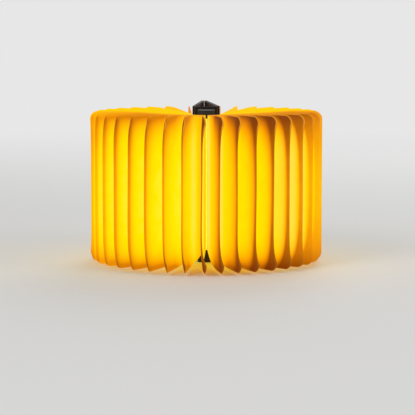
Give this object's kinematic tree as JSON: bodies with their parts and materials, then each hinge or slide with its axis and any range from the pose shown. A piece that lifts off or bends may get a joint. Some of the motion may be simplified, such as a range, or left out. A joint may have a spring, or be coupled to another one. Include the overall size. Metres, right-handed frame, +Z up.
{
  "type": "folding book lamp",
  "caption": "Book-shaped lamp opened right round: curled paper leaves stand as a glowing drum about a light bar in the spine, with the wooden covers back to back behind.",
  "frame": {"origin": "on the table under the light bar, on the axis that the leaves stand round", "axes": "+Z up, -Y to the open fan's front, +Y to the covers' outer edges, +X to the right seen from the front"},
  "size_m": [0.3215, 0.3522, 0.216],
  "materials": {
    "leaf_paper": "matt spun paper, lit through",
    "web_paper": "matt spun paper, lit through",
    "lining_paper": "matt",
    "walnut_veneer": "oiled, satin",
    "grey_board": "matt",
    "book_cloth": "matt weave",
    "black_plastic": "fine matt",
    "opal_plastic": "opal, lit",
    "white_circuit": "solder mask",
    "lamp_yellow": "clear, lit",
    "green_circuit": "solder mask",
    "black_chip": "moulded",
    "cell_foil": "satin foil",
    "pad_foam": "foam",
    "plated_steel": "plated",
    "magnet_plating": "nickel plated",
    "zinc_screw": "zinc plated"
  },
  "bodies": {
    "spine": {"spine_board": "grey_board", "bar_housing": "black_plastic", "diffuser": "opal_plastic", "foot_cap": "black_plastic", "head_cap": "black_plastic", "led_board": "white_circuit", "leds": "lamp_yellow", "battery": "cell_foil", "battery_pad": "pad_foam", "charge_board": "green_circuit", "charge_socket": "plated_steel", "cover_switch": "black_chip", "bar_screws": "zinc_screw", "cap_screws": "zinc_screw", "left_web": "web_paper", "right_web": "web_paper", "left_hinge_cloth": "book_cloth", "right_hinge_cloth": "book_cloth"},
    "left_cover": {"left_cover_board": "grey_board", "left_veneer": "walnut_veneer", "left_lining": "lining_paper", "left_magnets": "magnet_plating"},
    "right_cover": {"right_cover_board": "grey_board", "right_veneer": "walnut_veneer", "right_lining": "lining_paper", "right_magnets": "magnet_plating"},
    "leaf_01": {"leaf_01": "leaf_paper"},
    "leaf_02": {"leaf_02": "leaf_paper"},
    "leaf_03": {"leaf_03": "leaf_paper"},
    "leaf_04": {"leaf_04": "leaf_paper"},
    "leaf_05": {"leaf_05": "leaf_paper"},
    "leaf_06": {"leaf_06": "leaf_paper"},
    "leaf_07": {"leaf_07": "leaf_paper"},
    "leaf_08": {"leaf_08": "leaf_paper"},
    "leaf_09": {"leaf_09": "leaf_paper"},
    "leaf_10": {"leaf_10": "leaf_paper"},
    "leaf_11": {"leaf_11": "leaf_paper"},
    "leaf_12": {"leaf_12": "leaf_paper"},
    "leaf_13": {"leaf_13": "leaf_paper"},
    "leaf_14": {"leaf_14": "leaf_paper"},
    "leaf_15": {"leaf_15": "leaf_paper"},
    "leaf_16": {"leaf_16": "leaf_paper"},
    "leaf_17": {"leaf_17": "leaf_paper"},
    "leaf_18": {"leaf_18": "leaf_paper"},
    "leaf_19": {"leaf_19": "leaf_paper"},
    "leaf_20": {"leaf_20": "leaf_paper"},
    "leaf_21": {"leaf_21": "leaf_paper"},
    "leaf_22": {"leaf_22": "leaf_paper"},
    "leaf_23": {"leaf_23": "leaf_paper"},
    "leaf_24": {"leaf_24": "leaf_paper"},
    "leaf_25": {"leaf_25": "leaf_paper"},
    "leaf_26": {"leaf_26": "leaf_paper"},
    "leaf_27": {"leaf_27": "leaf_paper"},
    "leaf_28": {"leaf_28": "leaf_paper"},
    "leaf_29": {"leaf_29": "leaf_paper"},
    "leaf_30": {"leaf_30": "leaf_paper"},
    "leaf_31": {"leaf_31": "leaf_paper"},
    "leaf_32": {"leaf_32": "leaf_paper"},
    "leaf_33": {"leaf_33": "leaf_paper"},
    "leaf_34": {"leaf_34": "leaf_paper"}
  },
  "joints": [
    {"name": "left_cover_hinge", "type": "hinge", "parent": "spine", "child": "left_cover", "pos_m": [-0.016, 0.0115, 0.108], "axis": [0, 0, 1], "range_deg": [0, 185.1], "deforming": ["left_hinge_cloth", "left_web"]},
    {"name": "right_cover_hinge", "type": "hinge", "parent": "spine", "child": "right_cover", "pos_m": [0.016, 0.0115, 0.108], "axis": [0, 0, -1], "range_deg": [0, 185.1], "deforming": ["right_hinge_cloth", "right_web"]},
    {"name": "leaf_01_fold", "type": "hinge", "parent": "spine", "child": "leaf_01", "pos_m": [-0.01458, -0.00776, 0.1075], "axis": [0, 0, 1], "range_deg": [0, 178.63]},
    {"name": "leaf_02_fold", "type": "hinge", "parent": "spine", "child": "leaf_02", "pos_m": [-0.0132, -0.00791, 0.1075], "axis": [0, 0, 1], "range_deg": [0, 166.36]},
    {"name": "leaf_03_fold", "type": "hinge", "parent": "spine", "child": "leaf_03", "pos_m": [-0.01192, -0.00804, 0.1075], "axis": [0, 0, 1], "range_deg": [0, 154.29]},
    {"name": "leaf_04_fold", "type": "hinge", "parent": "spine", "child": "leaf_04", "pos_m": [-0.01074, -0.00814, 0.1075], "axis": [0, 0, 1], "range_deg": [0, 142.42]},
    {"name": "leaf_05_fold", "type": "hinge", "parent": "spine", "child": "leaf_05", "pos_m": [-0.00964, -0.00821, 0.1075], "axis": [0, 0, 1], "range_deg": [0, 130.76]},
    {"name": "leaf_06_fold", "type": "hinge", "parent": "spine", "child": "leaf_06", "pos_m": [-0.00861, -0.00826, 0.1075], "axis": [0, 0, 1], "range_deg": [0, 119.31]},
    {"name": "leaf_07_fold", "type": "hinge", "parent": "spine", "child": "leaf_07", "pos_m": [-0.00765, -0.00829, 0.1075], "axis": [0, 0, 1], "range_deg": [0, 108.08]},
    {"name": "leaf_08_fold", "type": "hinge", "parent": "spine", "child": "leaf_08", "pos_m": [-0.00674, -0.0083, 0.1075], "axis": [0, 0, 1], "range_deg": [0, 97.05]},
    {"name": "leaf_09_fold", "type": "hinge", "parent": "spine", "child": "leaf_09", "pos_m": [-0.00588, -0.0083, 0.1075], "axis": [0, 0, 1], "range_deg": [0, 86.22]},
    {"name": "leaf_10_fold", "type": "hinge", "parent": "spine", "child": "leaf_10", "pos_m": [-0.00507, -0.00829, 0.1075], "axis": [0, 0, 1], "range_deg": [0, 75.57]},
    {"name": "leaf_11_fold", "type": "hinge", "parent": "spine", "child": "leaf_11", "pos_m": [-0.00431, -0.00828, 0.1075], "axis": [0, 0, 1], "range_deg": [0, 65.09]},
    {"name": "leaf_12_fold", "type": "hinge", "parent": "spine", "child": "leaf_12", "pos_m": [-0.00358, -0.00829, 0.1075], "axis": [0, 0, 1], "range_deg": [0, 54.77]},
    {"name": "leaf_13_fold", "type": "hinge", "parent": "spine", "child": "leaf_13", "pos_m": [-0.00289, -0.00835, 0.1075], "axis": [0, 0, 1], "range_deg": [0, 44.59]},
    {"name": "leaf_14_fold", "type": "hinge", "parent": "spine", "child": "leaf_14", "pos_m": [-0.00222, -0.00852, 0.1075], "axis": [0, 0, 1], "range_deg": [0, 34.53]},
    {"name": "leaf_15_fold", "type": "hinge", "parent": "spine", "child": "leaf_15", "pos_m": [-0.00157, -0.00897, 0.1075], "axis": [0, 0, 1], "range_deg": [0, 24.58]},
    {"name": "leaf_16_fold", "type": "hinge", "parent": "spine", "child": "leaf_16", "pos_m": [-0.00086, -0.01029, 0.1075], "axis": [0, 0, 1], "range_deg": [0, 14.71]},
    {"name": "leaf_17_fold", "type": "hinge", "parent": "spine", "child": "leaf_17", "pos_m": [0.00043, -0.01786, 0.1075], "axis": [0, 0, 1], "range_deg": [0, 4.9]},
    {"name": "leaf_18_fold", "type": "hinge", "parent": "spine", "child": "leaf_18", "pos_m": [-0.00143, 0.00559, 0.1075], "axis": [0, 0, -1], "range_deg": [0, 4.9]},
    {"name": "leaf_19_fold", "type": "hinge", "parent": "spine", "child": "leaf_19", "pos_m": [-0.00014, -0.00253, 0.1075], "axis": [0, 0, -1], "range_deg": [0, 14.71]},
    {"name": "leaf_20_fold", "type": "hinge", "parent": "spine", "child": "leaf_20", "pos_m": [0.00057, -0.00437, 0.1075], "axis": [0, 0, -1], "range_deg": [0, 24.58]},
    {"name": "leaf_21_fold", "type": "hinge", "parent": "spine", "child": "leaf_21", "pos_m": [0.00122, -0.0053, 0.1075], "axis": [0, 0, -1], "range_deg": [0, 34.53]},
    {"name": "leaf_22_fold", "type": "hinge", "parent": "spine", "child": "leaf_22", "pos_m": [0.00189, -0.00591, 0.1075], "axis": [0, 0, -1], "range_deg": [0, 44.59]},
    {"name": "leaf_23_fold", "type": "hinge", "parent": "spine", "child": "leaf_23", "pos_m": [0.00258, -0.00636, 0.1075], "axis": [0, 0, -1], "range_deg": [0, 54.77]},
    {"name": "leaf_24_fold", "type": "hinge", "parent": "spine", "child": "leaf_24", "pos_m": [0.00331, -0.00671, 0.1075], "axis": [0, 0, -1], "range_deg": [0, 65.09]},
    {"name": "leaf_25_fold", "type": "hinge", "parent": "spine", "child": "leaf_25", "pos_m": [0.00407, -0.007, 0.1075], "axis": [0, 0, -1], "range_deg": [0, 75.57]},
    {"name": "leaf_26_fold", "type": "hinge", "parent": "spine", "child": "leaf_26", "pos_m": [0.00488, -0.00723, 0.1075], "axis": [0, 0, -1], "range_deg": [0, 86.22]},
    {"name": "leaf_27_fold", "type": "hinge", "parent": "spine", "child": "leaf_27", "pos_m": [0.00574, -0.00742, 0.1075], "axis": [0, 0, -1], "range_deg": [0, 97.05]},
    {"name": "leaf_28_fold", "type": "hinge", "parent": "spine", "child": "leaf_28", "pos_m": [0.00665, -0.00757, 0.1075], "axis": [0, 0, -1], "range_deg": [0, 108.08]},
    {"name": "leaf_29_fold", "type": "hinge", "parent": "spine", "child": "leaf_29", "pos_m": [0.00761, -0.00768, 0.1075], "axis": [0, 0, -1], "range_deg": [0, 119.31]},
    {"name": "leaf_30_fold", "type": "hinge", "parent": "spine", "child": "leaf_30", "pos_m": [0.00864, -0.00775, 0.1075], "axis": [0, 0, -1], "range_deg": [0, 130.76]},
    {"name": "leaf_31_fold", "type": "hinge", "parent": "spine", "child": "leaf_31", "pos_m": [0.00974, -0.0078, 0.1075], "axis": [0, 0, -1], "range_deg": [0, 142.42]},
    {"name": "leaf_32_fold", "type": "hinge", "parent": "spine", "child": "leaf_32", "pos_m": [0.01092, -0.00781, 0.1075], "axis": [0, 0, -1], "range_deg": [0, 154.29]},
    {"name": "leaf_33_fold", "type": "hinge", "parent": "spine", "child": "leaf_33", "pos_m": [0.0122, -0.00779, 0.1075], "axis": [0, 0, -1], "range_deg": [0, 166.36]},
    {"name": "leaf_34_fold", "type": "hinge", "parent": "spine", "child": "leaf_34", "pos_m": [0.01358, -0.00775, 0.1075], "axis": [0, 0, -1], "range_deg": [0, 178.63]}
  ],
  "couplings": [
    {"joint": "leaf_01_fold", "follows": "left_cover_hinge", "ratio": 0.96495},
    {"joint": "leaf_02_fold", "follows": "left_cover_hinge", "ratio": 0.8987},
    {"joint": "leaf_03_fold", "follows": "left_cover_hinge", "ratio": 0.83347},
    {"joint": "leaf_04_fold", "follows": "left_cover_hinge", "ratio": 0.76935},
    {"joint": "leaf_05_fold", "follows": "left_cover_hinge", "ratio": 0.70636},
    {"joint": "leaf_06_fold", "follows": "left_cover_hinge", "ratio": 0.64453},
    {"joint": "leaf_07_fold", "follows": "left_cover_hinge", "ratio": 0.58383},
    {"joint": "leaf_08_fold", "follows": "left_cover_hinge", "ratio": 0.52425},
    {"joint": "leaf_09_fold", "follows": "left_cover_hinge", "ratio": 0.46572},
    {"joint": "leaf_10_fold", "follows": "left_cover_hinge", "ratio": 0.4082},
    {"joint": "leaf_11_fold", "follows": "left_cover_hinge", "ratio": 0.3516},
    {"joint": "leaf_12_fold", "follows": "left_cover_hinge", "ratio": 0.29584},
    {"joint": "leaf_13_fold", "follows": "left_cover_hinge", "ratio": 0.24083},
    {"joint": "leaf_14_fold", "follows": "left_cover_hinge", "ratio": 0.18649},
    {"joint": "leaf_15_fold", "follows": "left_cover_hinge", "ratio": 0.1327},
    {"joint": "leaf_16_fold", "follows": "left_cover_hinge", "ratio": 0.079367},
    {"joint": "leaf_17_fold", "follows": "left_cover_hinge", "ratio": 0.026389},
    {"joint": "leaf_18_fold", "follows": "right_cover_hinge", "ratio": 0.026389},
    {"joint": "leaf_19_fold", "follows": "right_cover_hinge", "ratio": 0.079367},
    {"joint": "leaf_20_fold", "follows": "right_cover_hinge", "ratio": 0.1327},
    {"joint": "leaf_21_fold", "follows": "right_cover_hinge", "ratio": 0.18649},
    {"joint": "leaf_22_fold", "follows": "right_cover_hinge", "ratio": 0.24083},
    {"joint": "leaf_23_fold", "follows": "right_cover_hinge", "ratio": 0.29584},
    {"joint": "leaf_24_fold", "follows": "right_cover_hinge", "ratio": 0.3516},
    {"joint": "leaf_25_fold", "follows": "right_cover_hinge", "ratio": 0.4082},
    {"joint": "leaf_26_fold", "follows": "right_cover_hinge", "ratio": 0.46572},
    {"joint": "leaf_27_fold", "follows": "right_cover_hinge", "ratio": 0.52425},
    {"joint": "leaf_28_fold", "follows": "right_cover_hinge", "ratio": 0.58383},
    {"joint": "leaf_29_fold", "follows": "right_cover_hinge", "ratio": 0.64453},
    {"joint": "leaf_30_fold", "follows": "right_cover_hinge", "ratio": 0.70636},
    {"joint": "leaf_31_fold", "follows": "right_cover_hinge", "ratio": 0.76935},
    {"joint": "leaf_32_fold", "follows": "right_cover_hinge", "ratio": 0.83347},
    {"joint": "leaf_33_fold", "follows": "right_cover_hinge", "ratio": 0.8987},
    {"joint": "leaf_34_fold", "follows": "right_cover_hinge", "ratio": 0.96495}
  ]
}
